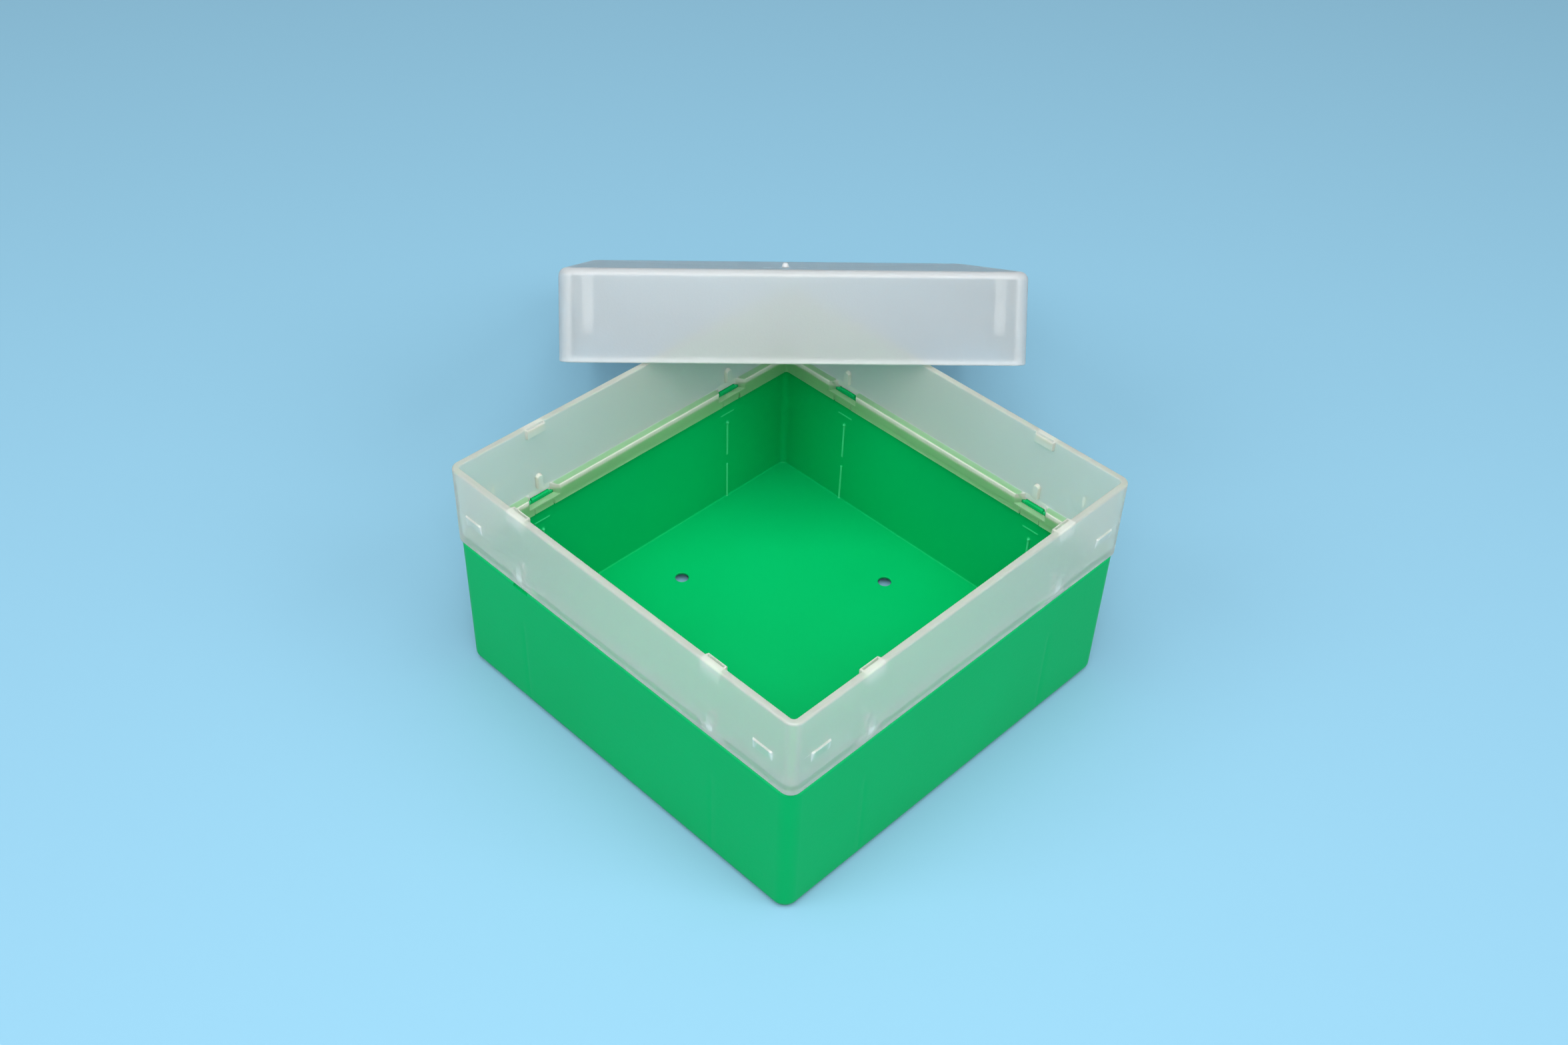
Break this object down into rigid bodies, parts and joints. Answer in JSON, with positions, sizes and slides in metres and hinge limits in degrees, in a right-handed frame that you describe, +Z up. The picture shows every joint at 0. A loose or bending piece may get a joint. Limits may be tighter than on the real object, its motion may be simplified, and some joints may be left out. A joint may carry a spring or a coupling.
{
  "type": "cryogenic storage box",
  "caption": "Square plastic storage box for frozen sample tubes, with a green tray, a frosted clip-on collar and a frosted lid that leans against one corner.",
  "frame": {"origin": "centre of the tray's underside", "axes": "+Z up out of the tray's open side; X and Y along the tray's sides; the leaning lid is over the corner at -X +Y"},
  "size_m": [0.2321, 0.2314, 0.0916],
  "materials": {
    "green_polypropylene": "opaque emerald green polypropylene, fine moulded satin",
    "natural_polypropylene": "translucent natural polypropylene, smooth",
    "frosted_polypropylene": "translucent polypropylene with a fine frosted texture outside"
  },
  "bodies": {
    "tray": {"base_tray": "green_polypropylene"},
    "collar": {"collar_frame": "natural_polypropylene"},
    "lid": {"lid": "frosted_polypropylene"}
  },
  "joints": [
    {"name": "collar_lift", "type": "slide", "parent": "tray", "child": "collar", "axis": [0, 0, 1], "range_m": [0, 0.03]},
    {"name": "lid_lift", "type": "slide", "parent": "collar", "child": "lid", "axis": [0, 0, 1], "range_m": [0, 0.09]}
  ]
}
